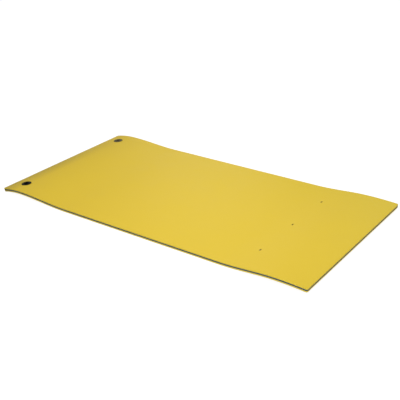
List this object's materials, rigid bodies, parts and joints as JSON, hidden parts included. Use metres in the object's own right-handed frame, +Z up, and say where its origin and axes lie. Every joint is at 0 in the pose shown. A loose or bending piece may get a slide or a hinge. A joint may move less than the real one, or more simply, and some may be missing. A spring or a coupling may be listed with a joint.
{
  "type": "pool float",
  "caption": "Foam water mat: a long laminated floating sheet with tether grommets at one end and pillow tie slots at the other.",
  "frame": {"origin": "on the ground under the middle of the mat", "axes": "+X along the mat from the tether end to the pillow end, +Y across it, +Z up"},
  "size_m": [3.672, 1.83, 0.072],
  "materials": {
    "yellow_foam": "smooth closed foam skin, satin",
    "slate_foam": "cut closed-cell foam, matt",
    "black_plastic": "moulded, fine satin"
  },
  "bodies": {
    "root": {"foam_top_sheet": "yellow_foam", "foam_core_sheet": "slate_foam", "foam_bottom_sheet": "yellow_foam", "tether_eyelet_near": "black_plastic", "tether_eyelet_far": "black_plastic", "tether_washer_near": "black_plastic", "tether_washer_far": "black_plastic"}
  },
  "joints": []
}
